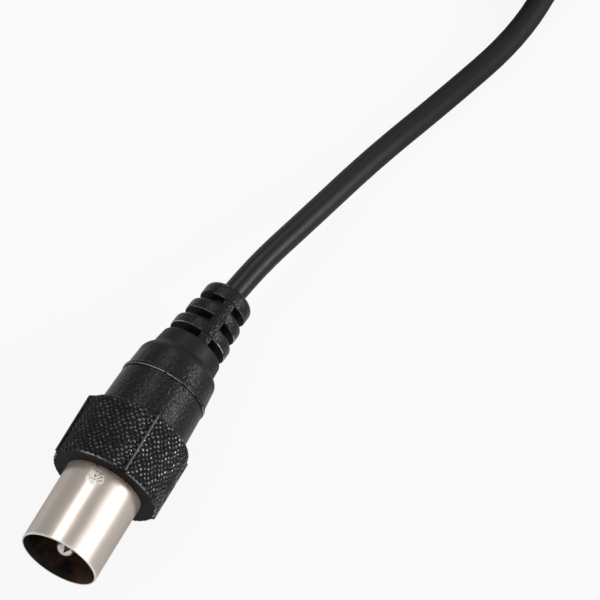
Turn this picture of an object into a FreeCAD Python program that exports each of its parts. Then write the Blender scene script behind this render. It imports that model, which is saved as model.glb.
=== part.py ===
"""Moulded coaxial aerial lead: a thin black cable with the same push-on plug at each end.

Each plug is modelled along +X from its mouth, in its own frame, and is then laid on the table. The near plug
points its mouth to -X. The spare length of the cable lies in a tied hank, and the far plug follows it.
"""

import FreeCAD, Part
import math
import os
from types import SimpleNamespace

import Sketcher

Vector = FreeCAD.Vector
Placement = FreeCAD.Placement
Rotation = FreeCAD.Rotation

# Driving dimensions in millimetres and degrees. Stations along a plug are measured from its mouth.
SIZES = (
    ("sleeve_diameter", 9.5, "outer contact, outside"),
    ("sleeve_wall", 0.4, "outer contact, drawn wall"),
    ("sleeve_exposed", 10.5, "outer contact, mouth to collar"),
    ("sleeve_seat_step", 0.18, "drop of the seat that the moulding grips"),
    ("sleeve_seat_length", 3.1, "seat inside the moulding"),
    ("sleeve_back", 0.6, "closed back of the outer contact"),
    ("sleeve_rim_round", 0.14, "rounding of the mouth's rim"),
    ("crimp_tail_diameter", 3.6, "spigot that the braid is crimped on"),
    ("crimp_tail_wall", 0.3, "spigot wall"),
    ("crimp_tail_length", 4.6, "spigot length"),
    ("pin_diameter", 2.4, "centre contact, outside"),
    ("pin_setback", 0.8, "tip of the centre contact behind the mouth"),
    ("pin_seat_diameter", 2.0, "centre contact inside the insulator"),
    ("pin_seat_length", 3.5, "length of that seat"),
    ("pin_tail_length", 3.0, "solder tail behind the seat"),
    ("pin_cup_depth", 1.5, "solder cup in the tail"),
    ("pin_seam_width", 0.18, "seam of the rolled pin"),
    ("pin_seam_depth", 0.35, "depth of the seam"),
    ("pin_seam_length", 5.0, "length of the seam from the tip"),
    ("insulator_setback", 10.0, "insulator face behind the mouth"),
    ("conductor_diameter", 0.5, "inner conductor"),
    ("conductor_bare", 0.3, "bare conductor between cup and dielectric"),
    ("dielectric_diameter", 1.5, "cable dielectric, also the solder tail"),
    ("braid_thickness", 0.2, "cable braid"),
    ("braid_flare", 1.2, "length over which the braid opens on to the spigot"),
    ("ferrule_wall", 0.4, "crimp ferrule wall"),
    ("ferrule_length", 4.0, "crimp ferrule length"),
    ("cable_diameter", 2.8, "cable jacket, outside"),
    ("jacket_setback", 21.0, "cut end of the jacket behind the mouth"),
    ("collar_diameter", 13.3, "gripping collar"),
    ("collar_length", 8.3, "gripping collar"),
    ("collar_front_round", 0.2, "front edge of the collar"),
    ("collar_rear_round", 0.8, "rear edge of the collar"),
    ("knurl_inset", 0.12, "knurled band's mean surface below the collar's plain edges"),
    ("knurl_edge", 0.1, "plain edge between a rounding and the knurled band"),
    ("fin_count", 4, "mould fins around the collar"),
    ("fin_height", 0.25, "fin above the collar"),
    ("fin_width", 0.34, "fin across"),
    ("fin_start", 0.2, "fin behind the collar's front face"),
    ("fin_overhang", 0.7, "fin past the collar's rear face"),
    ("fin_ramp", 1.0, "sloping rear end of the fin"),
    ("fin_root", 0.3, "fin below the grip's surface"),
    ("grip_diameter_front", 10.95, "grip behind the collar"),
    ("grip_diameter_rear", 10.5, "grip at its rear lip"),
    ("grip_length", 5.6, "grip, collar to lip's rear edge"),
    ("lip_length", 0.8, "raised lip at the grip's rear"),
    ("lip_height", 0.06, "raised lip"),
    ("barrel_diameter_front", 10.3, "barrel behind the lip"),
    ("barrel_diameter_rear", 9.78, "barrel at its shoulder"),
    ("barrel_length", 3.85, "barrel, lip to shoulder's end"),
    ("shoulder_round", 1.2, "shoulder of the barrel"),
    ("tail_root", 0.2, "strain relief's root inside the shoulder"),
    ("tail_bend", 5.0, "angle by which the cable has flexed the strain relief"),
    ("neck_diameter_front", 8.14, "neck of the strain relief at its root"),
    ("neck_diameter_rear", 7.64, "neck at the first groove"),
    ("neck_length", 2.43, "neck, root to first groove"),
    ("neck_round", 0.3, "rear edge of the neck"),
    ("rib_count", 3, "ribs of the strain relief"),
    ("rib_length", 1.6, "one rib"),
    ("rib_diameter_first", 7.34, "first rib"),
    ("rib_diameter_last", 6.02, "last rib"),
    ("rib_round", 0.5, "edges of the ribs"),
    ("groove_width", 1.0, "groove before each rib"),
    ("groove_core_diameter", 4.0, "bottom of the grooves"),
    ("end_length", 0.4, "extra length of the last rib"),
    ("web_width", 1.5, "webs that bridge the grooves above and below"),
    ("web_inset", 0.08, "webs below the ribs' surface"),
    ("plug_roll", 23.5, "near plug turned about its axis"),
    ("far_plug_roll", -113.5, "far plug turned about its axis"),
    ("far_plug_x", 185.0, "mouth of the far plug"),
    ("far_plug_y", -8.0, "axis of the far plug"),
    ("cable_straight", 3.2, "straight cable behind each strain relief"),
    ("hank_x", 73.0, "start of the hank"),
    ("hank_y", -1.5, "middle of the hank"),
    ("hank_straight", 28.0, "straight part of the hank's runs"),
    ("hank_fold_radius", 8.4, "innermost turn at the folds"),
    ("hank_columns", 2, "turns side by side"),
    ("hank_layers", 4, "turns on top of each other"),
    ("strand_gap", 0.05, "clearance between turns"),
    ("strand_overhang", 0.3, "end strands past the folds"),
    ("tie_width", 5.0, "strap that holds the hank"),
    ("tie_thickness", 0.5, "strap"),
)

# The cable's route on the table, from the near plug to the hank and from the hank to the far plug.
LEAD_POINTS = (Vector(33.8, -3.65, 4.6), Vector(44.8, -5.6, 1.86), Vector(56.1, -9.25, 1.42))
LAST_LEAD_RUN = 10.2
FIRST_TAIL_RUN = 6.5
TAIL_POINTS = (Vector(135.6, -10.5, 9.9),)
TANGENT_SHARE = 0.45


class Size:
    """A number together with the expression that ties it to the sheet."""

    def __init__(self, value, text):
        self.value = value
        self.text = text

    def __add__(self, other):
        return Size(self.value + number(other), f"({self.text} + {expression(other)})")

    def __sub__(self, other):
        return Size(self.value - number(other), f"({self.text} - {expression(other)})")

    def __mul__(self, other):
        return Size(self.value * number(other), f"({self.text} * {expression(other)})")

    def __truediv__(self, other):
        return Size(self.value / number(other), f"({self.text} / {expression(other)})")

    def __neg__(self):
        return Size(-self.value, f"(0 - {self.text})")


def number(amount):
    return amount.value if isinstance(amount, Size) else float(amount)


def expression(amount):
    return amount.text if isinstance(amount, Size) else repr(float(amount))


def square_root(amount):
    return Size(math.sqrt(amount.value), f"sqrt({amount.text})")


def make_sheet(doc):
    """The sheet of driving dimensions, and each of them as a Size."""
    sheet = doc.addObject("Spreadsheet::Sheet", "sizes")
    for row, (alias, value, meaning) in enumerate(SIZES, start=1):
        sheet.set(f"A{row}", alias)
        sheet.set(f"B{row}", str(value))
        sheet.setAlias(f"B{row}", alias)
        sheet.set(f"C{row}", meaning)
    doc.recompute()
    return SimpleNamespace(**{alias: Size(float(sheet.get(alias)), f"sizes.{alias}") for alias, _, _ in SIZES})


def shared_radii(s):
    """Radii that several pieces share."""
    r = SimpleNamespace()
    r.sleeve = s.sleeve_diameter / 2
    r.sleeve_bore = r.sleeve - s.sleeve_wall
    r.sleeve_seat = r.sleeve - s.sleeve_seat_step
    r.tail = s.crimp_tail_diameter / 2
    r.tail_bore = r.tail - s.crimp_tail_wall
    r.pin = s.pin_diameter / 2
    r.pin_seat = s.pin_seat_diameter / 2
    r.conductor = s.conductor_diameter / 2
    r.dielectric = s.dielectric_diameter / 2
    r.braid = r.dielectric + s.braid_thickness
    r.braid_on_tail = r.tail + s.braid_thickness
    r.ferrule = r.braid_on_tail + s.ferrule_wall
    r.cable = s.cable_diameter / 2
    r.collar = s.collar_diameter / 2
    r.groove_core = s.groove_core_diameter / 2
    r.strand_pitch = s.cable_diameter + s.strand_gap
    r.hank_bore = s.hank_fold_radius - r.strand_pitch / 2
    r.hank = r.hank_bore + r.strand_pitch * s.hank_columns
    return r


def shared_stations(s, r):
    """Distances along a plug from its mouth, and lengths along the hank."""
    at = SimpleNamespace()
    at.collar_front = s.sleeve_exposed
    at.sleeve_end = s.sleeve_exposed + s.sleeve_seat_length
    at.sleeve_floor = at.sleeve_end - s.sleeve_back
    at.crimp_tail_end = at.sleeve_end + s.crimp_tail_length
    at.ferrule_end = at.crimp_tail_end + s.braid_thickness
    at.ferrule_start = at.ferrule_end - s.ferrule_length
    at.pin_seat_end = s.insulator_setback + s.pin_seat_length
    at.pin_end = at.pin_seat_end + s.pin_tail_length
    at.cup_floor = at.pin_end - s.pin_cup_depth
    at.dielectric_start = at.pin_end + s.conductor_bare
    at.collar_rear = at.collar_front + s.collar_length
    at.knurl_front = at.collar_front + s.collar_front_round + s.knurl_edge
    at.knurl_rear = at.collar_rear - s.collar_rear_round - s.knurl_edge
    at.lip_rear = at.collar_rear + s.grip_length
    at.lip_front = at.lip_rear - s.lip_length
    at.barrel_rear = at.lip_rear + s.barrel_length
    at.tail_pivot = at.barrel_rear - s.tail_root
    at.rib_pitch = s.rib_length + s.groove_width
    at.tail_length = s.neck_length + at.rib_pitch * s.rib_count + s.end_length
    at.hank_length = r.hank * 2 + s.hank_straight
    at.hank_height = r.strand_pitch * s.hank_layers
    at.end_strand = square_root(r.strand_pitch * (r.hank * 2 - r.strand_pitch)) + s.strand_overhang
    return at


def new_body(doc, label, placement):
    body = doc.addObject("PartDesign::Body", f"body_{label}")
    body.Label = label
    body.Placement = placement
    return body


def origin_feature(body, role):
    return next(feature for feature in body.Origin.OriginFeatures if feature.Role == role)


def new_sketch(body, plane, name):
    sketch = body.newObject("Sketcher::SketchObject", name)
    sketch.AttachmentSupport = [(origin_feature(body, plane), "")]
    sketch.MapMode = "FlatFace"
    return sketch


def arc_between(start, end, radius):
    """The arc that turns left from start to end for a positive radius, and right for a negative one."""
    chord = end - start
    rise = math.sqrt(max(radius * radius - (chord.Length / 2) ** 2, 0.0))
    left = Vector(-chord.y, chord.x, 0).normalize()
    centre = (start + end) / 2 + left * math.copysign(rise, radius)
    first, last = (start, end) if radius > 0 else (end, start)
    circle = Part.Circle(centre, Vector(0, 0, 1), abs(radius))
    angles = [math.atan2(place.y - centre.y, place.x - centre.x) for place in (first, last)]
    if angles[1] <= angles[0]:
        angles[1] += 2 * math.pi
    return Part.ArcOfCircle(circle, angles[0], angles[1])


def hold_corner(sketch, curve, begin, corner, half_round):
    """Tie one corner's place to the sheet, and the arc that leaves it: a half round end by its centre."""
    for kind, axis, amount in (("DistanceX", -2, corner[0]), ("DistanceY", -1, corner[1])):
        if number(amount) == 0:
            sketch.addConstraint(Sketcher.Constraint("PointOnObject", curve, begin, axis))
            continue
        held = sketch.addConstraint(Sketcher.Constraint(kind, -1, 1, curve, begin, number(amount)))
        sketch.setExpression(f"Constraints[{held}]", expression(amount))
    if half_round:
        held = sketch.addConstraint(Sketcher.Constraint("DistanceX", -1, 1, curve, 3, number(corner[0])))
        sketch.setExpression(f"Constraints[{held}]", expression(corner[0]))
    elif len(corner) == 3:
        radius = corner[2] if number(corner[2]) > 0 else -corner[2]
        held = sketch.addConstraint(Sketcher.Constraint("Radius", curve, number(radius)))
        sketch.setExpression(f"Constraints[{held}]", expression(radius))


def add_outline(sketch, corners):
    """A closed outline. Each corner is (x, y), or (x, y, radius) where an arc leads on to the next corner."""
    places = [Vector(number(corner[0]), number(corner[1]), 0) for corner in corners]
    curves = []
    begins = []
    half_rounds = []
    for corner, start, end in zip(corners, places, places[1:] + places[:1]):
        radius = number(corner[2]) if len(corner) == 3 else 0
        shape = arc_between(start, end, radius) if radius else Part.LineSegment(start, end)
        curves.append(sketch.addGeometry(shape, False))
        begins.append(2 if radius < 0 else 1)
        half_rounds.append(abs((end - start).Length - 2 * abs(radius)) < 1e-6)
    for index, curve in enumerate(curves):
        follower = (index + 1) % len(curves)
        joint = (curve, 3 - begins[index], curves[follower], begins[follower])
        sketch.addConstraint(Sketcher.Constraint("Coincident", *joint))
    for corner, curve, begin, half_round in zip(corners, curves, begins, half_rounds):
        hold_corner(sketch, curve, begin, corner, half_round)


def rectangle(left, low, right, high):
    return [(left, low), (right, low), (right, high), (left, high)]


def add_turned(body, name, corners):
    """A solid turned about the body's X axis from an outline in (station, radius)."""
    sketch = new_sketch(body, "XZ_Plane", f"{name}_outline")
    add_outline(sketch, corners)
    turned = body.newObject("PartDesign::Revolution", f"{name}_turned")
    turned.Profile = sketch
    turned.ReferenceAxis = (origin_feature(body, "X_Axis"), [""])
    turned.Angle = 360
    return turned


def add_pad(body, name, sketch, length, symmetric=False):
    pad = body.newObject("PartDesign::Pad", name)
    pad.Profile = sketch
    pad.Midplane = symmetric
    pad.Length = number(length)
    pad.setExpression("Length", expression(length))
    return pad


def turned_piece(doc, label, placement, corners):
    body = new_body(doc, label, placement)
    add_turned(body, label, corners)
    return body


def make_sleeve(doc, label, placement, s, r, at):
    """Drawn outer contact with a closed back and a spigot for the braid."""
    corners = [
        (0, r.sleeve_bore),
        (0, r.sleeve - s.sleeve_rim_round, -s.sleeve_rim_round),
        (s.sleeve_rim_round, r.sleeve),
        (s.sleeve_exposed, r.sleeve),
        (s.sleeve_exposed, r.sleeve_seat),
        (at.sleeve_end, r.sleeve_seat),
        (at.sleeve_end, r.tail),
        (at.crimp_tail_end, r.tail),
        (at.crimp_tail_end, r.tail_bore),
        (at.sleeve_floor, r.tail_bore),
        (at.sleeve_floor, r.sleeve_bore),
    ]
    return turned_piece(doc, label, placement, corners)


def make_insulator(doc, label, placement, s, r, at):
    """Disc that holds the centre contact, with a spigot through the outer contact's tail."""
    corners = [
        (s.insulator_setback, r.pin_seat),
        (s.insulator_setback, r.sleeve_bore),
        (at.sleeve_floor, r.sleeve_bore),
        (at.sleeve_floor, r.tail_bore),
        (at.crimp_tail_end, r.tail_bore),
        (at.crimp_tail_end, r.dielectric),
        (at.pin_seat_end, r.dielectric),
        (at.pin_seat_end, r.pin_seat),
    ]
    return turned_piece(doc, label, placement, corners)


def make_pin(doc, label, placement, s, r, at):
    """Rolled centre contact with a round nose, a seam and a solder cup."""
    corners = [
        (s.pin_setback, 0, -r.pin),
        (s.pin_setback + r.pin, r.pin),
        (s.insulator_setback, r.pin),
        (s.insulator_setback, r.pin_seat),
        (at.pin_seat_end, r.pin_seat),
        (at.pin_seat_end, r.dielectric),
        (at.pin_end, r.dielectric),
        (at.pin_end, r.conductor),
        (at.cup_floor, r.conductor),
        (at.cup_floor, 0),
    ]
    body = turned_piece(doc, label, placement, corners)
    doc.recompute()
    whole = body.Shape.Volume
    seam = new_sketch(body, "XY_Plane", f"{label}_seam")
    half = s.pin_seam_width / 2
    add_outline(seam, rectangle(0, -half, s.pin_setback + s.pin_seam_length, half))
    seam.setExpression(".AttachmentOffset.Base.z", expression(r.pin - s.pin_seam_depth))
    pocket = body.newObject("PartDesign::Pocket", f"{label}_seam_cut")
    pocket.Profile = seam
    pocket.Reversed = True
    pocket.setExpression("Length", expression(s.pin_seam_depth * 2))
    doc.recompute()
    if not body.Shape.Volume < whole:
        raise RuntimeError("the seam cuts nothing from the pin")
    return body


def make_ferrule(doc, label, placement, s, r, at):
    corners = rectangle(at.ferrule_start, r.braid_on_tail, at.ferrule_end, r.ferrule)
    return turned_piece(doc, label, placement, corners)


def make_braid(doc, label, placement, s, r, at):
    """Braid end, opened over the spigot and held by the ferrule."""
    corners = [
        (at.ferrule_start, r.tail),
        (at.ferrule_start, r.braid_on_tail),
        (at.ferrule_end, r.braid_on_tail),
        (at.ferrule_end + s.braid_flare, r.braid),
        (s.jacket_setback, r.braid),
        (s.jacket_setback, r.dielectric),
        (at.crimp_tail_end + s.braid_flare, r.dielectric),
        (at.crimp_tail_end, r.tail),
    ]
    return turned_piece(doc, label, placement, corners)


def make_dielectric(doc, label, placement, s, r, at):
    corners = rectangle(at.dielectric_start, 0, s.jacket_setback, r.dielectric)
    return turned_piece(doc, label, placement, corners)


def make_conductor(doc, label, placement, s, r, at):
    corners = rectangle(at.cup_floor, 0, at.dielectric_start, r.conductor)
    return turned_piece(doc, label, placement, corners)


def rib_radius(s, index):
    steps = max(int(number(s.rib_count)) - 1, 1)
    return (s.rib_diameter_first + (s.rib_diameter_last - s.rib_diameter_first) * (index / steps)) / 2


def groove_start(s, at, index):
    return s.neck_length + at.rib_pitch * index


def strain_relief_outline(s, r, at):
    """Neck, grooves and ribs in (distance from the root, radius)."""
    corners = [
        (0, 0),
        (0, s.neck_diameter_front / 2),
        (s.neck_length - s.neck_round, s.neck_diameter_rear / 2, -s.neck_round),
        (s.neck_length, s.neck_diameter_rear / 2 - s.neck_round),
    ]
    count = int(number(s.rib_count))
    for index in range(count):
        front = groove_start(s, at, index) + s.groove_width
        rear = front + s.rib_length
        radius = rib_radius(s, index)
        if index == count - 1:
            rear = at.tail_length
        corners.append((groove_start(s, at, index), r.groove_core))
        corners.append((front, r.groove_core))
        corners.append((front, radius - s.rib_round, -s.rib_round))
        corners.append((front + s.rib_round, radius))
        corners.append((rear - s.rib_round, radius, -s.rib_round))
        corners.append((rear, radius - s.rib_round))
    corners.append((at.tail_length, 0))
    return corners


def tail_sketch(body, name, s, at):
    """A sketch in the flexed strain relief's own frame, seen from above."""
    sketch = new_sketch(body, "XY_Plane", name)
    flexed = Rotation(Vector(0, 0, -1), s.tail_bend.value)
    sketch.AttachmentOffset = Placement(Vector(at.tail_pivot.value, 0, 0), flexed)
    sketch.setExpression(".AttachmentOffset.Base.x", expression(at.tail_pivot))
    sketch.setExpression(".AttachmentOffset.Rotation.Angle", expression(s.tail_bend))
    return sketch


def mould_outline(s, r, at):
    """Collar, grip, lip and barrel outside, and the faces of the pieces that are moulded in."""
    return [
        (at.collar_front, r.sleeve_seat),
        (at.collar_front, r.collar - s.collar_front_round, -s.collar_front_round),
        (at.collar_front + s.collar_front_round, r.collar),
        (at.knurl_front, r.collar),
        (at.knurl_front, r.collar - s.knurl_inset),
        (at.knurl_rear, r.collar - s.knurl_inset),
        (at.knurl_rear, r.collar),
        (at.collar_rear - s.collar_rear_round, r.collar, -s.collar_rear_round),
        (at.collar_rear, r.collar - s.collar_rear_round),
        (at.collar_rear, s.grip_diameter_front / 2),
        (at.lip_front, s.grip_diameter_rear / 2),
        (at.lip_front, s.grip_diameter_rear / 2 + s.lip_height),
        (at.lip_rear, s.grip_diameter_rear / 2 + s.lip_height),
        (at.lip_rear, s.barrel_diameter_front / 2),
        (at.barrel_rear - s.shoulder_round, s.barrel_diameter_rear / 2, -s.shoulder_round),
        (at.barrel_rear, s.barrel_diameter_rear / 2 - s.shoulder_round),
        (at.barrel_rear, 0),
        (s.jacket_setback, 0),
        (s.jacket_setback, r.braid),
        (at.ferrule_end + s.braid_flare, r.braid),
        (at.ferrule_end, r.braid_on_tail),
        (at.ferrule_end, r.ferrule),
        (at.ferrule_start, r.ferrule),
        (at.ferrule_start, r.tail),
        (at.sleeve_end, r.tail),
        (at.sleeve_end, r.sleeve_seat),
    ]


def make_moulding(doc, label, placement, s, r, at):
    """One-piece moulding: gripping collar with fins, grip, barrel and ribbed strain relief."""
    body = new_body(doc, label, placement)
    add_turned(body, label, mould_outline(s, r, at))

    relief = tail_sketch(body, f"{label}_relief_outline", s, at)
    add_outline(relief, strain_relief_outline(s, r, at))
    turned = body.newObject("PartDesign::Revolution", f"{label}_relief")
    turned.Profile = relief
    turned.ReferenceAxis = (relief, ["H_Axis"])
    turned.Angle = 360

    half = s.web_width / 2
    for index in range(int(number(s.rib_count))):
        web = tail_sketch(body, f"{label}_web_outline", s, at)
        front = groove_start(s, at, index) - s.rib_round
        rear = groove_start(s, at, index) + s.groove_width + s.rib_round
        add_outline(web, rectangle(front, -half, rear, half))
        add_pad(body, f"{label}_web", web, (rib_radius(s, index) - s.web_inset) * 2, symmetric=True)

    fin = new_sketch(body, "XZ_Plane", f"{label}_fin_outline")
    low = s.grip_diameter_front / 2 - s.fin_root
    high = r.collar + s.fin_height
    corners = [
        (at.collar_front + s.fin_start, low),
        (at.collar_rear + s.fin_overhang, low),
        (at.collar_rear + s.fin_overhang, s.grip_diameter_front / 2),
        (at.collar_rear + s.fin_overhang - s.fin_ramp, high),
        (at.collar_front + s.fin_start, high),
    ]
    add_outline(fin, corners)
    one_fin = add_pad(body, f"{label}_fin", fin, s.fin_width, symmetric=True)
    fins = body.newObject("PartDesign::PolarPattern", f"{label}_fins")
    fins.Originals = [one_fin]
    fins.Axis = (origin_feature(body, "X_Axis"), [""])
    fins.Angle = 360
    fins.setExpression("Occurrences", expression(s.fin_count))
    body.Tip = fins
    return body


def route_wire(name, points):
    """Straight runs joined by tangent arcs."""
    edges = []
    radii = []
    begin = points[0]
    for before, corner, after in zip(points, points[1:], points[2:]):
        back = before - corner
        onward = after - corner
        half_turn = (math.pi - back.getAngle(onward)) / 2
        cut = TANGENT_SHARE * min(back.Length, onward.Length)
        radius = cut / math.tan(half_turn)
        first = corner + back * (cut / back.Length)
        last = corner + onward * (cut / onward.Length)
        inward = (first + last) / 2 - corner
        crown = corner + inward * (radius * (1 / math.cos(half_turn) - 1) / inward.Length)
        edges.append(Part.LineSegment(begin, first).toShape())
        edges.append(Part.Arc(first, crown, last).toShape())
        radii.append(round(radius, 1))
        begin = last
    edges.append(Part.LineSegment(begin, points[-1]).toShape())
    print(name, "bend radii", radii)
    return Part.Wire(edges)


def make_cable(doc, label, points, radius):
    """A round cable along a route."""
    path = route_wire(label, points)
    circle = Part.Circle(points[0], points[1] - points[0], radius)
    solid = path.makePipeShell([Part.Wire([circle.toShape()])], True, False)
    expected = math.pi * radius * radius * path.Length
    if abs(solid.Volume - expected) > 0.01 * expected:
        raise RuntimeError(f"{label} has the volume {solid.Volume} instead of {expected}")
    cable = doc.addObject("Part::Feature", label)
    cable.Label = label
    cable.Shape = solid
    print(label, "length", round(path.Length, 1))
    return cable


def stadium(s, outer, radius):
    """Outline of a flat loop, with the outer loop's corner at the sketch's origin."""
    low = 0 if radius is outer else outer - radius
    high = outer + radius
    right = outer + s.hank_straight
    return [(outer, low), (right, low, radius), (right, high), (outer, high, radius)]


def make_hank(doc, label, s, r, at):
    """Outer shape of the wound cable, with the strands that enter below and leave on top."""
    body = new_body(doc, label, Placement(Vector(s.hank_x.value, s.hank_y.value - r.hank.value, 0), Rotation()))
    body.setExpression(".Placement.Base.z", expression(s.tie_thickness))
    loop = new_sketch(body, "XY_Plane", f"{label}_outline")
    add_outline(loop, stadium(s, r.hank, r.hank))
    add_outline(loop, stadium(s, r.hank, r.hank_bore))
    add_pad(body, f"{label}_loop", loop, at.hank_height)

    entry = new_sketch(body, "XY_Plane", f"{label}_entry_outline")
    add_outline(entry, rectangle(r.hank - at.end_strand, 0, r.hank + r.strand_pitch, r.strand_pitch))
    add_pad(body, f"{label}_entry", entry, r.strand_pitch)

    leaving = new_sketch(body, "XY_Plane", f"{label}_exit_outline")
    run_end = r.hank + s.hank_straight
    add_outline(leaving, rectangle(run_end - r.strand_pitch, 0, run_end + at.end_strand, r.strand_pitch))
    leaving.setExpression(".AttachmentOffset.Base.z", expression(at.hank_height - r.strand_pitch))
    add_pad(body, f"{label}_exit", leaving, r.strand_pitch)
    return body


def make_tie(doc, label, s, r, at):
    """Strap around the middle of the hank."""
    middle = number(s.hank_x + r.hank + s.hank_straight / 2)
    place = Vector(middle - s.tie_width.value / 2, s.hank_y.value - number(r.hank + s.tie_thickness), 0)
    body = new_body(doc, label, Placement(place, Rotation()))
    band = new_sketch(body, "YZ_Plane", f"{label}_outline")
    thick = s.tie_thickness
    wide = r.hank * 2 + thick * 2
    tall = at.hank_height + thick * 2
    outer = [
        (thick, 0),
        (wide - thick, 0, thick),
        (wide, thick),
        (wide, tall - thick, thick),
        (wide - thick, tall),
        (thick, tall, thick),
        (0, tall - thick),
        (0, thick, thick),
    ]
    add_outline(band, outer)
    add_outline(band, rectangle(thick, thick, wide - thick, tall - thick))
    add_pad(body, f"{label}_band", band, s.tie_width)
    return body


def resting_height(s, r, roll):
    """Height of a plug's axis when its collar or a fin touches the table."""
    reach = [r.collar.value]
    for index in range(int(number(s.fin_count))):
        angle = math.radians(roll) + index * 2 * math.pi / number(s.fin_count)
        half = abs(math.sin(angle)) * s.fin_width.value / 2
        reach.append(math.cos(angle) * number(r.collar + s.fin_height) + half)
    return max(reach)


def tail_place(s, at, distance):
    """A place on the flexed strain relief's axis, in the plug's frame."""
    bend = math.radians(s.tail_bend.value)
    return Vector(at.tail_pivot.value + distance * math.cos(bend), -distance * math.sin(bend), 0)


def plug_reach(s, at):
    """Length of a plug from its mouth to the farthest edge of its strain relief."""
    bend = math.radians(s.tail_bend.value)
    last = rib_radius(s, int(number(s.rib_count)) - 1).value - s.rib_round.value
    along = (number(at.tail_length) - s.rib_round.value) * math.cos(bend)
    return at.tail_pivot.value + along + last * math.sin(bend) + s.rib_round.value


def plug_route(s, at, placement):
    """The cable's points inside a plug and just behind it."""
    behind = number(at.tail_length) + s.cable_straight.value
    inside = (Vector(s.jacket_setback.value, 0, 0), Vector(at.tail_pivot.value, 0, 0), tail_place(s, at, behind))
    return [placement.multVec(place) for place in inside]


PLUG_PIECES = {
    "outer_sleeve": make_sleeve,
    "centre_pin": make_pin,
    "insulator": make_insulator,
    "crimp_ferrule": make_ferrule,
    "braid_end": make_braid,
    "dielectric_end": make_dielectric,
    "conductor_end": make_conductor,
}


def make_plug(doc, prefix, placement, cable, s, r, at):
    """All pieces of one plug. The moulding is shrunk on to the cable, so the cable cuts its bore."""
    pieces = [make(doc, prefix + name, placement, s, r, at) for name, make in PLUG_PIECES.items()]
    whole = make_moulding(doc, f"{prefix}whole_moulding", placement, s, r, at)
    moulding = doc.addObject("Part::Cut", f"{prefix}bored_moulding")
    moulding.Base = whole
    moulding.Tool = cable
    moulding.Label = f"{prefix}overmould"
    return pieces + [moulding]


def refuse_faults(doc):
    for thing in doc.Objects:
        if "Invalid" in thing.State or "Error" in thing.State:
            raise RuntimeError(f"{thing.Label} is in the state {thing.State}")


def write_piece(piece):
    shape = piece.Shape
    if shape.isNull() or not shape.isValid() or len(shape.Solids) != 1:
        raise RuntimeError(f"{piece.Label} is not one valid solid")
    shape.exportStep(f"parts/{piece.Label}.step")
    box = shape.BoundBox
    low = [round(value, 3) for value in (box.XMin, box.YMin, box.ZMin)]
    high = [round(value, 3) for value in (box.XMax, box.YMax, box.ZMax)]
    print(piece.Label, "volume", round(shape.Volume, 3), low, high)


def main():
    doc = FreeCAD.newDocument("aerial_lead")
    s = make_sheet(doc)
    r = shared_radii(s)
    at = shared_stations(s, r)

    height = resting_height(s, r, s.plug_roll.value)
    near = Placement(Vector(-plug_reach(s, at) / 2, 0, height), Rotation(Vector(1, 0, 0), s.plug_roll.value))
    about = Rotation(Vector(0, 0, 1), 180).multiply(Rotation(Vector(1, 0, 0), s.far_plug_roll.value))
    far_height = resting_height(s, r, s.far_plug_roll.value)
    far = Placement(Vector(s.far_plug_x.value, s.far_plug_y.value, far_height), about)

    strand_y = s.hank_y.value - number(r.hank - r.strand_pitch / 2)
    low_strand = number(s.tie_thickness + r.strand_pitch / 2)
    high_strand = number(s.tie_thickness + at.hank_height - r.strand_pitch / 2)
    entry = Vector(number(s.hank_x + r.hank - at.end_strand), strand_y, low_strand)
    leaving = Vector(number(s.hank_x + r.hank + s.hank_straight + at.end_strand), strand_y, high_strand)

    lead_points = plug_route(s, at, near) + list(LEAD_POINTS)
    lead_points += [entry - Vector(LAST_LEAD_RUN, 0, 0), entry]
    tail_points = [leaving, leaving + Vector(FIRST_TAIL_RUN, 0, 0), *TAIL_POINTS]
    tail_points += reversed(plug_route(s, at, far))
    for name, points in (("lead", lead_points), ("tail", tail_points)):
        print(name, [tuple(round(value, 3) for value in point) for point in points])

    lead = make_cable(doc, "cable_lead", lead_points, r.cable.value)
    tail = make_cable(doc, "cable_tail", tail_points, r.cable.value)
    pieces = [lead, tail, make_hank(doc, "cable_hank", s, r, at), make_tie(doc, "cable_tie", s, r, at)]
    pieces += make_plug(doc, "", near, lead, s, r, at)
    pieces += make_plug(doc, "far_", far, tail, s, r, at)

    doc.recompute()
    refuse_faults(doc)
    os.makedirs("parts", exist_ok=True)
    for piece in pieces:
        write_piece(piece)


main()
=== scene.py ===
"""Looks of a coaxial antenna lead: two moulded push-on plugs, the thin black cable and its hank."""

import math

import bmesh
import bpy
import numpy as np
from bpy.props import FloatProperty, FloatVectorProperty, IntProperty, PointerProperty
from mathutils import Matrix, Vector


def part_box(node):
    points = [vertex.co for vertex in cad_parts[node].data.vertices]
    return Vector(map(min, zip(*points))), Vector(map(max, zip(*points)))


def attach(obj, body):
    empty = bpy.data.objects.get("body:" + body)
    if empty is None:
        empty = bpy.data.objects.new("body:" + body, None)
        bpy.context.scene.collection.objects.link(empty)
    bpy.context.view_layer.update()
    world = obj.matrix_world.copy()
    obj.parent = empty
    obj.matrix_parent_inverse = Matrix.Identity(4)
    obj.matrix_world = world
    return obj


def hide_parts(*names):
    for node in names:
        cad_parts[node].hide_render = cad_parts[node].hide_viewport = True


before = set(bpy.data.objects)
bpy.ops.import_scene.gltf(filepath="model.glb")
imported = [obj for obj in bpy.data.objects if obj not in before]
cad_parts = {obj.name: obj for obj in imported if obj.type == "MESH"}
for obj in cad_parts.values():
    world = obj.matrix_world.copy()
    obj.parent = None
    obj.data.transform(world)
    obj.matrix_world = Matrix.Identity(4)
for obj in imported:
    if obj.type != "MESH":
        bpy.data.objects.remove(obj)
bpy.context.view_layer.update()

bl_info = {
    "name": "Coaxial antenna lead",
    "version": (1, 0, 0),
    "blender": (4, 5, 0),
    "location": "View3D > Sidebar > Lead",
    "description": "Moulded aerial plugs, their contacts and the cable between them",
    "category": "Add Mesh",
}

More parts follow.
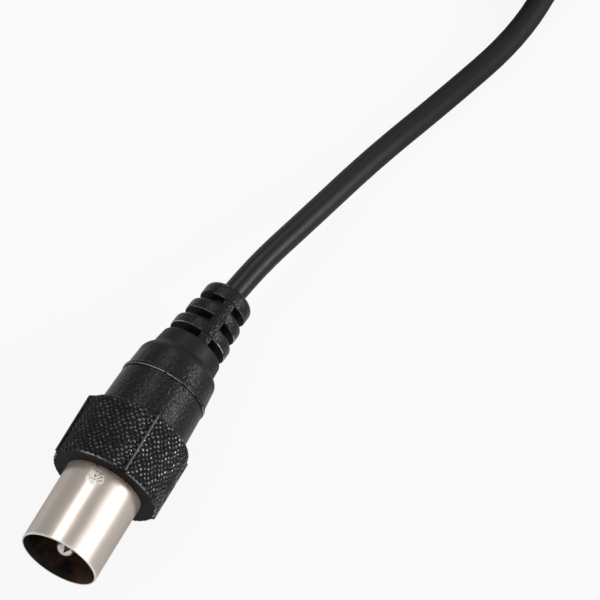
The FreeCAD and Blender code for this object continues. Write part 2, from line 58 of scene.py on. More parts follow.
MM = 0.001
QUARTER = math.pi / 2
PLUGS = ("", "far_")
INNER_PIECES = ("insulator", "crimp_ferrule", "braid_end", "dielectric_end", "conductor_end")
MERGE_DISTANCE = 2e-7

# Stations along a plug from its mouth, and radii, in millimetres, as in the solids.
SLEEVE_RADIUS, SLEEVE_INSIDE, SLEEVE_FLOOR = 4.75, 4.35, 13.0
RIM_EDGE, INNER_EDGE, FLARE_END = 0.14, 0.05, 0.9
SEAT_RADIUS, SEAT_END = 4.57, 13.6
SPIGOT_RADIUS, SPIGOT_BORE, SPIGOT_END = 1.8, 1.5, 18.2
PIN_RADIUS, PIN_NOSE, PIN_SHOULDER = 1.2, 2.0, 10.0
COLLAR_FRONT, COLLAR_RADIUS, COLLAR_EDGE, COLLAR_ROUND = 10.5, 6.65, 0.2, 0.8
KNURL_FRONT, KNURL_REAR, KNURL_END = 10.7, 18.0, 18.7
FIN_RADIUS, FIN_SHOULDER, FIN_SLOPE, FIN_END, FIN_FOOT = 6.9, 0.02, 18.5, 19.5, 5.4
RIB_RADII, RIB_LENGTHS, RIB_ROUNDS = (3.67, 3.34, 3.01), (1.6, 1.6, 2.0), (0.5, 0.5, 0.9)
RIB_EDGE, RIB_PITCH = 0.16, 2.6
GROOVE_WIDTH, GROOVE_RADIUS, CABLE_HOLE = 1.0, 2.0, 1.25
WEB_FRONT, WEB_REAR, WEB_HALF, WEB_DROP = 30.1, 37.2, 0.75, 0.08
FIRST_GROOVE = 30.4
# Half of a fin's width, as an angle.
FIN_HALF = 0.17 / COLLAR_RADIUS
# Stations at which the moulding's axis bends: behind the collar, and at the strain relief's root.
BENDS = (19.3, 28.05)
BEYOND = 99.0

# Knurl: unevenness of its phases, mean and spread of its heights, and the power that rounds its crests.
UNEVEN, TALL, TALL_SPREAD, CREST_POWER = 0.15, 0.84, 0.16, 0.4
# Value of the knurl attribute on the fins, above any crest.
FIN_MARK = 1.5
# Tables over stations: how pale the forward edges are painted, as highlight lines, and how coarse the grain is.
EDGE_HIGHLIGHT_SHARE = ((20, 23, 25, 26, 30, 31), (0.8, 2.5, 2.5, 0.8, 0.8, 2.0))
GRAIN_SHARE = ((25.5, 27.5, 30.4, 30.5), (1, 0.15, 0.15, 1))
# Table over degrees round the plug: how polished the knurl's crests are.
POLISH = ((-180, -150, 5, 40, 150, 180), (0.7, 1, 1, 0.4, 0.4, 0.7))
# Order of the moulding's finishes on its mesh.
PLAIN, MATT, KNURLED = range(3)

# Moulding: grain's size and height, and the colour of the highlight lines painted on its edges.
GRAIN_SIZE, GRAIN_HEIGHT = 0.2 * MM, 0.13 * MM
EDGE_HIGHLIGHT_COLOUR = (0.45, 0.45, 0.455)
# Jacket: it grows matt between these two places along X.
MATT_FROM, MATT_TO = 18 * MM, 60 * MM
# Outer contact: worn patch by station and angle, then its half sizes, and the colours of its marks.
PATCH_STATION, PATCH_TURN, PATCH_LENGTH, PATCH_WIDTH = 9.05, 0.44, 1.0, 0.21
RIM_PLATE, PATCH_PLATE, PITS = (0.97, 0.95, 0.92), (0.97, 0.95, 0.88), (0.16, 0.15, 0.105)
STAIN, SPOTS = (0.36, 0.28, 0.21), (0.06, 0.042, 0.026)
# Inside of the outer contact: angle and half width of a side where rust colour spreads further as painted
# light, and how much redder rust is.
LIT_SIDE_TURN, LIT_SIDE_HALF, RUST_SHARE = -1.95, 0.8, (15.0, 11.0, 9.0)
# Strap: dark and pale threads.
THREADS = ((0.012, 0.012, 0.013), (0.035, 0.035, 0.037))
# Table: share of its own white that the camera and that reflections see.
SEEN_WHITE, MIRRORED_WHITE = 0.9, 0.2


class LeadSizes(bpy.types.PropertyGroup):
    """Sizes of the lead's moulding and cable."""

    plug_roll: FloatProperty(
        name="Plug roll", description="Near plug turned about its axis",
        default=math.radians(23.5), subtype="ANGLE")
    far_plug_roll: FloatProperty(
        name="Far plug roll", description="Far plug turned about its axis",
        default=math.radians(-113.5), subtype="ANGLE")
    grip_bend: FloatProperty(
        name="Grip bend", description="Flex of the moulding behind its collar",
        default=math.radians(0.9), subtype="ANGLE")
    relief_bend: FloatProperty(
        name="Relief bend", description="Flex of the strain relief",
        default=math.radians(4), subtype="ANGLE")
    knurls_per_quarter: IntProperty(
        name="Knurls per quarter", description="Diamonds between two fins",
        default=14, min=4, max=40)
    knurl_rows: IntProperty(
        name="Knurl rows", description="Rows of diamonds along the collar",
        default=9, min=2, max=24)
    knurl_depth: FloatProperty(
        name="Knurl depth", description="Height of the diamonds",
        default=0.24 * MM, unit="LENGTH", precision=5)
    cable_diameter: FloatProperty(
        name="Cable diameter", description="Outside of the jacket",
        default=2.8 * MM, unit="LENGTH", precision=5)


class LeadColours(bpy.types.PropertyGroup):
    """Colours of the lead's finishes, in linear light."""

    moulding: FloatVectorProperty(
        name="Moulding", description="Black moulded plastic",
        default=(0.0095, 0.0095, 0.0098), subtype="COLOR")
    jacket: FloatVectorProperty(
        name="Jacket", description="Cable jacket",
        default=(0.003, 0.003, 0.0032), subtype="COLOR")
    nickel: FloatVectorProperty(
        name="Nickel", description="Plating of the outer contacts",
        default=(0.67, 0.595, 0.53), subtype="COLOR")
    pin: FloatVectorProperty(
        name="Pin", description="Plating of the centre pins",
        default=(0.88, 0.86, 0.83), subtype="COLOR")
    bore: FloatVectorProperty(
        name="Bore", description="Dull inside of the outer contacts",
        default=(0.007, 0.0045, 0.0028), subtype="COLOR")
    floor: FloatVectorProperty(
        name="Floor", description="Table under the lead",
        default=(0.6, 0.6, 0.6), subtype="COLOR")


class LeadStage(bpy.types.PropertyGroup):
    """Camera and light."""

    azimuth: FloatProperty(
        name="Azimuth", description="Camera direction",
        default=math.radians(-61.549), subtype="ANGLE")
    elevation: FloatProperty(
        name="Elevation", description="Camera above the horizon",
        default=math.radians(62.158), subtype="ANGLE")
    distance: FloatProperty(
        name="Distance", description="Camera to target", default=1.01997, unit="LENGTH")
    target: FloatVectorProperty(
        name="Target", description="Point in the middle of the picture",
        default=(0.025467, -0.00645, 0.0), subtype="XYZ", unit="LENGTH")
    lens: FloatProperty(
        name="Lens", description="Focal length", default=534.0, unit="CAMERA")
    sky: FloatProperty(
        name="Sky", description="Strength of the surrounding light", default=0.46)
    strip: FloatProperty(
        name="Strip", description="Power of the strip light overhead", default=1.0, unit="POWER")
    bar: FloatProperty(
        name="Bar", description="Power of the hot middle of the side light", default=1.35, unit="POWER")
    window: FloatProperty(
        name="Window", description="Power of the wide light at the side", default=1.37, unit="POWER")


class Value:
    """One shader value. Arithmetic on it adds Math nodes to its material."""

    def __init__(self, finish, socket):
        self.finish = finish
        self.socket = socket

    def __add__(self, other):
        return self.finish.math("ADD", self, other)

    def __radd__(self, other):
        return self.finish.math("ADD", other, self)

    def __sub__(self, other):
        return self.finish.math("SUBTRACT", self, other)

    def __rsub__(self, other):
        return self.finish.math("SUBTRACT", other, self)

    def __mul__(self, other):
        return self.finish.math("MULTIPLY", self, other)

    def __rmul__(self, other):
        return self.finish.math("MULTIPLY", other, self)

    def __truediv__(self, other):
        return self.finish.math("DIVIDE", self, other)

    def __rtruediv__(self, other):
        return self.finish.math("DIVIDE", other, self)


class Finish:
    """A node material with one surface shader. Constants go straight on its sockets."""

    def __init__(self, name, surface="ShaderNodeBsdfPrincipled", **constants):
        self.material = bpy.data.materials.new(name)
        self.material.use_nodes = True
        self.tree = self.material.node_tree
        self.tree.nodes.clear()
        self.shader = self.tree.nodes.new(surface)
        output = self.tree.nodes.new("ShaderNodeOutputMaterial")
        self.tree.links.new(self.shader.outputs[0], output.inputs["Surface"])
        for socket, value in constants.items():
            self.feed(socket.replace("_", " "), value)

    def put(self, socket, value):
        """Links a shader value to a socket, or sets a plain one on it."""
        if isinstance(value, Value):
            self.tree.links.new(value.socket, socket)
        else:
            socket.default_value = value

    def feed(self, socket, value):
        """Puts a value on a socket of the surface shader."""
        self.put(self.shader.inputs[socket], value)

    def node(self, kind, settings=None, sockets=None, output=0):
        """Adds a node: its settings first, then the values or links of its sockets."""
        made = self.tree.nodes.new(kind)
        for name, value in (settings or {}).items():
            setattr(made, name, value)
        for name, value in (sockets or {}).items():
            self.put(made.inputs[name], value)
        return Value(self, made.outputs[output])

    def math(self, operation, first, second):
        """One Math node."""
        return self.node("ShaderNodeMath", {"operation": operation}, {0: first, 1: second})

    def mix(self, share, first, second):
        """Blends two colours, each a tuple or a shader value."""
        first, second = ((*part, 1) if isinstance(part, tuple) else part for part in (first, second))
        sockets = {0: share, 6: first, 7: second}
        return self.node("ShaderNodeMix", {"data_type": "RGBA"}, sockets, output=2)

    def place(self, stretch=(1, 1, 1)):
        """Object coordinates, stretched along the axes."""
        raw = self.node("ShaderNodeTexCoord", output="Object")
        return self.node("ShaderNodeMapping", None, {"Vector": raw, "Scale": stretch}, output="Vector")

    def noise(self, size, detail=2.0, rough=0.55, stretch=(1, 1, 1)):
        """Noise whose blotches are about size across, in metres."""
        sockets = {"Vector": self.place(stretch), "Scale": 0.5 / size, "Detail": detail, "Roughness": rough}
        return self.node("ShaderNodeTexNoise", None, sockets, output="Fac")

    def step(self, value, low, high):
        """Smooth step from 0 at low to 1 at high. low may be above high."""
        first, last, start, end = (low, high, 0.0, 1.0) if low < high else (high, low, 1.0, 0.0)
        sockets = {0: value, 1: first, 2: last, 3: start, 4: end}
        return self.node("ShaderNodeMapRange", {"interpolation_type": "SMOOTHSTEP"}, sockets)

    def attribute(self, name):
        """A point value of the piece's own mesh."""
        return self.node("ShaderNodeAttribute", {"attribute_name": name}, output="Fac")

    def bump(self, height, strength, distance):
        """Relief from a height."""
        sockets = {"Height": height, "Strength": strength, "Distance": distance}
        self.feed("Normal", self.node("ShaderNodeBump", None, sockets, output="Normal"))


def shaded(colour, share):
    """A colour times a share."""
    return tuple(share * part for part in colour)


def painted_edge_highlight(finish):
    """Painted highlight lines on a moulding's forward edges: how pale, in dashes, and more along some
    stretches.
    """
    dashes = finish.step(finish.noise(0.6 * MM), 0.4, 0.56)
    stretches = finish.step(finish.noise(3.2 * MM, detail=1.0), 0.42, 0.56)
    return finish.attribute("edge") * dashes * (0.15 + stretches * 0.85)


def moulding_finish(colours):
    """Black plastic with a fine grain that breaks its highlights into glints, and painted highlight lines on
    edges.
    """
    finish = Finish("black_moulding", IOR=1.26)
    grain = finish.noise(GRAIN_SIZE, rough=0.65)
    patch = finish.step(finish.noise(2.2 * MM), 0.35, 0.65)
    coarse = finish.attribute("grain")
    base = finish.mix(patch, shaded(colours.moulding, 0.8), tuple(colours.moulding))
    # Pale lines on the forward edges are painted highlights.
    finish.feed("Base Color", finish.mix(painted_edge_highlight(finish), base, EDGE_HIGHLIGHT_COLOUR))
    finish.feed("Roughness", 0.5 - coarse * 0.37)
    finish.bump(grain * coarse, strength=1.0, distance=GRAIN_HEIGHT)
    return finish.material


def matte_finish(colours):
    """The same plastic on faces that look towards the mouth, which are left matt."""
    finish = Finish("matt_moulding", IOR=1.2)
    grain = finish.noise(0.3 * MM, detail=3.0, rough=0.6)
    cloud = finish.step(finish.noise(1.6 * MM), 0.35, 0.7)
    finish.feed("Base Color", finish.mix(cloud, shaded(colours.moulding, 1.4), shaded(colours.moulding, 2.6)))
    finish.feed("Roughness", 0.45 + grain * 0.2)
    finish.bump(grain, strength=0.2, distance=0.04 * MM)
    return finish.material


def knurl_finish(colours):
    """Same plastic on the knurl: valleys dull and painted darker as shade, crests unevenly polished, fins
    satin.
    """
    finish = Finish("knurled_moulding", IOR=1.2, Coat_Roughness=0.06, Coat_IOR=2.1)
    grain = finish.noise(GRAIN_SIZE, rough=0.65)
    knurl = finish.attribute("knurl")
    crest = finish.step(knurl, 0.2, 0.9)
    fin = finish.step(knurl, 1.1, 1.4)
    # Painted shade: the valleys get a darker colour than the crests.
    base = finish.mix(crest, shaded(colours.moulding, 0.9), shaded(colours.moulding, 1.2))
    # Pale lines on the knurl's forward edges are painted highlights.
    finish.feed("Base Color", finish.mix(painted_edge_highlight(finish), base, EDGE_HIGHLIGHT_COLOUR))
    finish.feed("Roughness", 0.5 - crest * 0.3)
    uneven = finish.step(finish.noise(0.5 * MM), 0.44, 0.62)
    glossy = finish.step(knurl, 0.2, 0.7) * (0.12 + uneven * 0.88) * finish.attribute("polish")
    finish.feed("Coat Weight", glossy * (1 - fin) + fin * 0.6)
    finish.bump(grain, strength=1.0, distance=GRAIN_HEIGHT)
    return finish.material


def jacket_finish(colours):
    """Satin black cable jacket with a fine grain, more matt away from the near plug."""
    finish = Finish("cable_jacket", IOR=1.37)
    grain = finish.noise(0.22 * MM, detail=3.0, rough=0.6)
    cloud = finish.step(finish.noise(6.0 * MM), 0.4, 0.75)
    pale = tuple(0.001 + 1.3 * part for part in colours.jacket)
    finish.feed("Base Color", finish.mix(cloud, tuple(colours.jacket), pale))
    along = finish.node("ShaderNodeSeparateXYZ", None, {"Vector": finish.place()}, output="X")
    finish.feed("Roughness", 0.33 + grain * 0.12 + finish.step(along, MATT_FROM, MATT_TO) * 0.27)
    finish.bump(grain, strength=0.15, distance=0.04 * MM)
    return finish.material


def nickel_finish(name, colour, worn):
    """Bright nickel plate with fine turning marks.

    Where worn is true it also has a bright rim, a worn patch with pits, and stains and spots by the collar.
    """
    finish = Finish(name, Metallic=1.0)
    marks = finish.noise(0.25 * MM, rough=0.6, stretch=(1.0, 0.08, 0.08))
    haze = finish.step(finish.noise(2.6 * MM), 0.35, 0.75)
    base = finish.mix(haze * 0.35, tuple(colour), shaded(colour, 0.8))
    rough = 0.25 + marks * 0.07 + haze * 0.05
    height = marks * 0.16 + finish.noise(3.5 * MM, detail=1.0) * 9.0
    if worn:
        station = finish.attribute("station")
        stain = finish.step(station, 9.3, 10.5)
        speck = finish.step(finish.noise(0.26 * MM, rough=0.7), 0.54, 0.62)
        spots = finish.step(station, 10.0, 10.5) * speck
        along = (station - PATCH_STATION) / PATCH_LENGTH
        across = (finish.attribute("turn") - PATCH_TURN) / PATCH_WIDTH
        ragged = (finish.noise(0.5 * MM, detail=3.0, rough=0.7) - 0.5) * 4.0
        patch = finish.step(along * along + across * across + ragged, 1.3, 0.3)
        pits = finish.step(finish.noise(0.11 * MM, rough=0.7), 0.49, 0.64)
        for share, mark in ((finish.step(station, 0.3, 0.12), RIM_PLATE), (patch * 0.85, PATCH_PLATE),
                            (patch * pits, PITS), (stain * 0.45, STAIN), (spots * 0.9, SPOTS)):
            base = finish.mix(share, base, mark)
        rough = rough + patch * 0.35 + stain * 0.4
        height = height - patch * pits * 0.4
    finish.feed("Base Color", base)
    finish.feed("Roughness", rough)
    finish.bump(height, strength=0.5, distance=0.03 * MM)
    return finish.material


def bore_finish(colours):
    """Unplated, browned inside of the outer contact, rusty in clouds, and paler on one side as painted light.
    """
    finish = Finish("browned_bore", Metallic=0.35)
    cloud = finish.noise(2.2 * MM, detail=3.0)
    # Painted light: the pale rust colour spreads further on one side, which stands in for that side being lit.
    aside = (finish.attribute("turn") - LIT_SIDE_TURN) / LIT_SIDE_HALF
    side = finish.step(aside * aside, 1.0, 0.0)
    rust = tuple(share * part for share, part in zip(RUST_SHARE, colours.bore))
    rust_and_lit_side = finish.step(cloud + side * 0.2, 0.46, 0.7)
    finish.feed("Base Color", finish.mix(rust_and_lit_side, tuple(colours.bore), rust))
    finish.feed("Roughness", 0.5 + cloud * 0.25)
    finish.bump(cloud, strength=0.2, distance=0.05 * MM)
    return finish.material


def plain_finish(name, colour, metallic, rough, size, stretch=(1, 1, 1)):
    """One colour with cloudy variation and a fine relief, for the inner pieces and the pin's seam."""
    finish = Finish(name, Metallic=metallic)
    cloud = finish.noise(size, detail=3.0, rough=0.6, stretch=stretch)
    finish.feed("Base Color", finish.mix(finish.step(cloud, 0.35, 0.7), shaded(colour, 0.6), colour))
    finish.feed("Roughness", rough + cloud * 0.15)
    finish.bump(cloud, strength=0.15, distance=0.03 * MM)
    return finish.material


def strap_finish():
    """Woven black strap."""
    finish = Finish("strap_weave", Sheen_Weight=0.2)
    settings = {"wave_type": "BANDS", "bands_direction": "X"}
    sockets = {"Vector": finish.place(), "Scale": 620.0, "Distortion": 1.2}
    warp = finish.node("ShaderNodeTexWave", settings, sockets, output="Fac")
    fluff = finish.noise(0.3 * MM, detail=3.0)
    finish.feed("Base Color", finish.mix(fluff * warp, *THREADS))
    finish.feed("Roughness", 0.75 + fluff * 0.2)
    finish.bump(warp + fluff * 0.5, strength=0.4, distance=0.1 * MM)
    return finish.material


def plug_pose(prefix, sizes):
    """Mouth centre in metres and turning of a plug: its own X runs from the mouth to the cable."""
    low, high = (np.array(corner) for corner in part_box(prefix + "outer_sleeve"))
    mouth = (low + high) / 2
    mouth[0] = high[0] if prefix else low[0]
    roll = sizes.far_plug_roll if prefix else sizes.plug_roll
    facing = -1.0 if prefix else 1.0
    cos, sin = math.cos(roll), math.sin(roll)
    rolled = np.array([[1, 0, 0], [0, cos, -sin], [0, sin, cos]])
    return mouth, np.diag([facing, facing, 1.0]) @ rolled


def carry(local, pose):
    """Points of a plug, in millimetres from its mouth, to the shared frame in metres."""
    mouth, turning = pose
    return mouth + (local.reshape(-1, 3) * MM) @ turning.T


def ring_faces(rows, columns, closed):
    """Quads of a grid whose columns run round, and whose rows join up too where closed is true."""
    row = np.arange(rows if closed else rows - 1)[:, None] * columns
    below = (row + columns) % (rows * columns)
    column = np.arange(columns)[None, :]
    onward = (column + 1) % columns
    corners = (row + column, row + onward, below + onward, below + column)
    return np.stack(corners, axis=-1).reshape(-1, 4)


def signed_volume(points, faces):
    """Sum of the tetrahedra between the origin and the two triangles of each quad."""
    a, b, c, d = (points[faces[:, corner]] for corner in range(4))
    return float(np.sum(a * np.cross(b, c)) + np.sum(a * np.cross(c, d))) / 6


def make_piece(name, points, faces, materials, sharp, values=None, kinds=None):
    """A mesh object at the origin, on the one body, with its faces pointing outwards.

    Edges past sharp degrees stay sharp. values are point attributes, and kinds holds the index of each face's
    material.
    """
    if signed_volume(points - points.mean(axis=0), faces) < 0:
        faces = faces[:, ::-1]
    mesh = bpy.data.meshes.new(name)
    mesh.from_pydata(points, [], faces)
    for key, numbers in (values or {}).items():
        mesh.attributes.new(key, "FLOAT", "POINT").data.foreach_set("value", np.ravel(numbers))
    for material in materials:
        mesh.materials.append(material)
    if kinds is not None:
        mesh.polygons.foreach_set("material_index", kinds.astype(np.int32))
    shell = bmesh.new()
    shell.from_mesh(mesh)
    bmesh.ops.remove_doubles(shell, verts=shell.verts, dist=MERGE_DISTANCE)
    shell.to_mesh(mesh)
    shell.free()
    mesh.shade_smooth()
    mesh.set_sharp_from_angle(angle=math.radians(sharp))
    piece = bpy.data.objects.new(name, mesh)
    bpy.context.scene.collection.objects.link(piece)
    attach(piece, "root")
    return piece


def line(start, end, count):
    """Straight stretch of a profile: start + share of the way to end, without its end."""
    share = np.linspace(0, 1, count, endpoint=False)[:, None]
    return np.array(start) + share * (np.array(end) - np.array(start))


def arc(centre, radius, first, last, count):
    """Round stretch of a profile, from the first to the last angle in degrees, without its end."""
    angle = np.radians(np.linspace(first, last, count, endpoint=False))
    return np.array(centre) + radius * np.stack([np.cos(angle), np.sin(angle)], axis=-1)


def ease(share):
    """Smooth step of a share from 0 to 1: three of its squares less two of its cubes."""
    return share * share * (3 - 2 * share)


def relief_profile():
    """Neck, grooves and ribs of the strain relief, as lines and arcs, and the station of its end."""
    neck_front, neck_rear, neck_edge = (28.57, 4.029), (30.18, 3.85), 0.3
    edge, shoulder = neck_rear[0] + neck_edge, neck_rear[1] - neck_edge
    parts = [line(neck_front, neck_rear, 8), arc((neck_rear[0], shoulder), neck_edge, 90, 0, 5)]
    for radius, length, close in zip(RIB_RADII, RIB_LENGTHS, RIB_ROUNDS):
        front = edge + GROOVE_WIDTH
        rear = front + length
        parts += [
            line((edge, shoulder), (edge, GROOVE_RADIUS), 3),
            line((edge, GROOVE_RADIUS), (front, GROOVE_RADIUS), 3),
            line((front, GROOVE_RADIUS), (front, radius - RIB_EDGE), 3),
            arc((front + RIB_EDGE, radius - RIB_EDGE), RIB_EDGE, 180, 90, 6),
            line((front + RIB_EDGE, radius), (rear - close, radius), 4),
            arc((rear - close, radius - close), close, 90, 0, 6),
        ]
        edge, shoulder = rear, radius - close
    parts.append(line((edge, shoulder), (edge, CABLE_HOLE), 4))
    return parts, edge


def moulding_profile(rows):
    """Closed profile of the moulding, in (station, radius), and the slice of it that has the knurl.

    Lines and arcs, from the collar's front face along the outside and back through the bore.
    """
    relief, end = relief_profile()
    front = [line((COLLAR_FRONT, SEAT_RADIUS), (COLLAR_FRONT, COLLAR_RADIUS - COLLAR_EDGE), 4)]
    collar_rear, collar_shoulder = KNURL_REAR + COLLAR_ROUND, COLLAR_RADIUS - COLLAR_ROUND
    knurl = [
        arc((KNURL_FRONT, COLLAR_RADIUS - COLLAR_EDGE), COLLAR_EDGE, 180, 90, 4),
        line((KNURL_FRONT, COLLAR_RADIUS), (KNURL_REAR, COLLAR_RADIUS), rows * 8),
        arc((KNURL_REAR, collar_shoulder), COLLAR_ROUND, 90, 0, 10),
    ]
    corner, corner_round = (18.92, 5.6), 0.12
    grip_start, grip_front, grip_rear = (18.92, 5.47), (19.5, 5.44), (23.8, 5.235)
    groove_front, lip_foot = (23.86, 5.14), (23.98, 5.14)
    lip_middle, lip_edge, lip_rear = (24.08, 5.22), 0.1, (24.4, 5.31)
    barrel_front, barrel_rear, barrel_round = (24.6, 5.14), (27.05, 4.89), 1.2
    root_middle, root_round = (28.643, 4.725), 0.7
    rear = [
        line((collar_rear, collar_shoulder), (collar_rear, corner[1]), 2),
        arc(corner, corner_round, 180, 270, 3),
        line(grip_start, grip_front, 4),
        line(grip_front, grip_rear, 8),
        line(grip_rear, groove_front, 2),
        line(groove_front, lip_foot, 2),
        line(lip_foot, (lip_foot[0], lip_middle[1]), 2),
        arc(lip_middle, lip_edge, 180, 90, 5),
        line((lip_middle[0], lip_middle[1] + lip_edge), lip_rear, 3),
        line(lip_rear, barrel_front, 4),
        line(barrel_front, barrel_rear, 7),
        arc((barrel_rear[0], barrel_rear[1] - barrel_round), barrel_round, 90, 33, 8),
        arc(root_middle, root_round, 213, 264, 6),
    ]
    jacket_radius, braid_radius, opened_braid, ferrule_radius = 1.4, 0.95, 2.0, 2.4
    hole_rear, hole_front, jacket_end, braid_flare = 29.0, 27.2, 21.0, 19.6
    ferrule_rear, ferrule_front = 18.4, 14.4
    bore = [
        line((end, CABLE_HOLE), (hole_rear, jacket_radius), 5),
        line((hole_rear, jacket_radius), (hole_front, jacket_radius), 5),
        line((hole_front, jacket_radius), (jacket_end, jacket_radius), 2),
        np.array([
            (jacket_end, jacket_radius), (jacket_end, braid_radius), (braid_flare, braid_radius),
            (ferrule_rear, opened_braid), (ferrule_rear, ferrule_radius), (ferrule_front, ferrule_radius),
            (ferrule_front, SPIGOT_RADIUS), (SEAT_END, SPIGOT_RADIUS), (SEAT_END, SEAT_RADIUS),
        ]),
    ]
    first = sum(len(part) for part in front)
    last = first + sum(len(part) for part in knurl)
    return np.concatenate(front + knurl + rear + relief + bore), slice(first, last)


def quarter_angles(knurls):
    """Angles round the moulding: six close ones for each fin, six for each diamond between the fins."""
    fin = np.array([-0.98, -0.8, -0.25, 0.25, 0.8, 0.98]) * FIN_HALF
    field = np.linspace(FIN_HALF, QUARTER - FIN_HALF, knurls * 6 + 1)
    return (np.arange(4)[:, None] * QUARTER + np.concatenate([fin, field])).ravel()


def ridges(phase):
    """Round ridges with sharp valleys: rises from 0 to 1 and falls back over each unit of phase."""
    return np.abs(np.sin(math.pi * phase))


def wobble(first, second, seed):
    """Smooth uneven field from -1 to 1 over two phases: the mean of two slanted sine waves."""
    one = np.sin(2.3 * first + 1.1 * second + seed)
    other = np.sin(1.7 * second - 1.9 * first + 2.6 * seed)
    return 0.5 * one + 0.5 * other


def knurl_heights(angle, station, sizes):
    """Heights of the knurl, from 0 in its valleys to about 1 on its crests.

    The product of two sets of ridges that climb round the collar left and right, with uneven phases, and times
    an uneven tallness.
    """
    quarter = np.floor(angle / QUARTER)
    round_phase = (angle % QUARTER - FIN_HALF) / (QUARTER - 2 * FIN_HALF) * sizes.knurls_per_quarter
    row_phase = (station - KNURL_FRONT) / (KNURL_REAR - KNURL_FRONT) * sizes.knurl_rows
    seed = 1.3 * quarter
    aside = round_phase + UNEVEN * wobble(round_phase, row_phase, seed + 0.7)
    onward = row_phase + UNEVEN * wobble(round_phase, row_phase, seed + 2.9)
    tall = TALL + TALL_SPREAD * wobble(1.6 * round_phase, 1.9 * row_phase, seed + 5.0)
    return ridges(aside + onward) * ridges(aside - onward) * tall


def bent_axis(station, sizes):
    """Turn of the moulding's rings at each station, and the axis's place there along X and Y.

    The axis changes its heading at each bend, and the rings turn with it over one millimetre.
    """
    turn, along, aside, heading = 0, np.minimum(station, BENDS[0]), 0, 0
    bends = (sizes.grip_bend, sizes.relief_bend)
    for pivot, following, bend in zip(BENDS, BENDS[1:] + (BEYOND,), bends):
        turn = turn + bend * ease(np.clip(station - pivot + 0.5, 0, 1))
        heading += bend
        run = np.clip(station, pivot, following) - pivot
        along = along + run * math.cos(heading)
        aside = aside - run * math.sin(heading)
    return turn, along, aside


def moulding_surface(sizes):
    """Profile carried round the bent axis, its point values, and the index of each face's finish.

    Radius = profile, less the knurl's depth times (1 - a power of its height), raised to the fins and to the
    webs between the ribs. The values are the knurl's height, the grain's coarseness, the crests' polish and how
    pale the edges that look forward are painted, as highlight lines.
    """
    profile, zone = moulding_profile(sizes.knurl_rows)
    station, radius = profile[:, 0:1], profile[:, 1:2]
    outside = np.arange(len(profile))[:, None] < np.argmax(station)
    angle = quarter_angles(sizes.knurls_per_quarter)[None, :]
    from_fin = np.abs((angle + QUARTER / 2) % QUARTER - QUARTER / 2) / FIN_HALF
    beside = from_fin > 0.99

    reach = radius + 0 * angle
    knurl = np.zeros_like(reach)
    heights = knurl_heights(angle, station[zone], sizes)
    knurl[zone] = np.where(beside, heights, 0)
    fade = np.interp(station[zone], [KNURL_REAR, KNURL_END], [1, 0])
    reach[zone] -= np.where(beside, 1 - heights ** CREST_POWER, 0) * fade * sizes.knurl_depth / MM

    fin = np.interp(station, [KNURL_FRONT, FIN_SLOPE, FIN_END], [FIN_RADIUS, FIN_RADIUS, FIN_FOOT])
    fin = fin - FIN_SHOULDER * (from_fin > 0.5)
    has_fin = outside & (station > KNURL_FRONT - 0.01) & (station < FIN_END) & (from_fin < 0.9)
    reach = np.where(has_fin, np.maximum(reach, fin), reach)
    knurl = np.where(has_fin, FIN_MARK, knurl)

    rib = np.clip(((station - FIRST_GROOVE) / RIB_PITCH).astype(int), 0, len(RIB_RADII) - 1)
    web = np.array(RIB_RADII)[rib] - WEB_DROP
    has_web = outside & (station > WEB_FRONT) & (station < WEB_REAR) & (np.abs(np.sin(angle)) * web < WEB_HALF)
    reach = np.where(has_web, np.maximum(reach, web), reach)

    turn, along, aside = bent_axis(station, sizes)
    across = reach * np.sin(angle)
    local = [along + across * np.sin(turn), aside + across * np.cos(turn), reach * np.cos(angle)]

    onward = np.roll(profile, -1, axis=0) - profile
    slope = np.where(outside[:, 0], onward[:, 1] / np.hypot(*onward.T), 0)
    # The edges that look forward get pale highlight lines painted on, by a table over stations.
    edge = ((slope > 0.15) & (slope < 0.97)) * np.interp(profile[:, 0], *EDGE_HIGHLIGHT_SHARE)
    degrees = np.degrees((angle + math.pi) % (2 * math.pi) - math.pi)
    values = {
        "knurl": knurl,
        "grain": np.interp(station, *GRAIN_SHARE) + 0 * angle,
        "polish": np.interp(degrees, *POLISH) + 0 * station,
        "edge": edge[:, None] * ~has_web,
    }
    kinds = np.full(len(profile), PLAIN)
    kinds[zone] = KNURLED
    kinds[slope > 0.85] = MATT
    return np.stack(local, axis=-1), values, np.repeat(kinds, angle.size)


def turned_surface(profile, angles):
    """Profile turned about the plug's axis. Returns the grid, its stations and its angles."""
    station, radius = profile[:, 0:1], profile[:, 1:2]
    turn = angles[None, :] + 0 * station
    station = station + 0 * turn
    local = np.stack([station, radius * np.sin(turn), radius * np.cos(turn)], axis=-1)
    return local, station, (turn + math.pi) % (2 * math.pi) - math.pi


def sleeve_profile():
    """Closed profile of the drawn outer contact, and the first and last rows of its inside.

    Lines and arcs: rim, outside, seat, spigot, then the inside, which flares a little to the rim.
    """
    rim_middle = SLEEVE_RADIUS - RIM_EDGE
    outside = [
        arc((RIM_EDGE, rim_middle), RIM_EDGE, 180, 90, 6),
        line((RIM_EDGE, SLEEVE_RADIUS), (COLLAR_FRONT, SLEEVE_RADIUS), 36),
    ]
    seat = [np.array([
        (COLLAR_FRONT, SLEEVE_RADIUS), (COLLAR_FRONT, SEAT_RADIUS), (SEAT_END, SEAT_RADIUS),
        (SEAT_END, SPIGOT_RADIUS), (SPIGOT_END, SPIGOT_RADIUS), (SPIGOT_END, SPIGOT_BORE),
        (SLEEVE_FLOOR, SPIGOT_BORE),
    ])]
    flare = line((FLARE_END, SLEEVE_INSIDE), (INNER_EDGE, rim_middle - INNER_EDGE), 4)
    inside = np.concatenate([line((SLEEVE_FLOOR, SLEEVE_INSIDE), (FLARE_END, SLEEVE_INSIDE), 16), flare])
    rim = arc((INNER_EDGE, rim_middle), INNER_EDGE, 270, 180, 4)
    first = sum(len(part) for part in outside + seat)
    return np.concatenate(outside + seat + [inside, rim]), (first, first + len(inside))


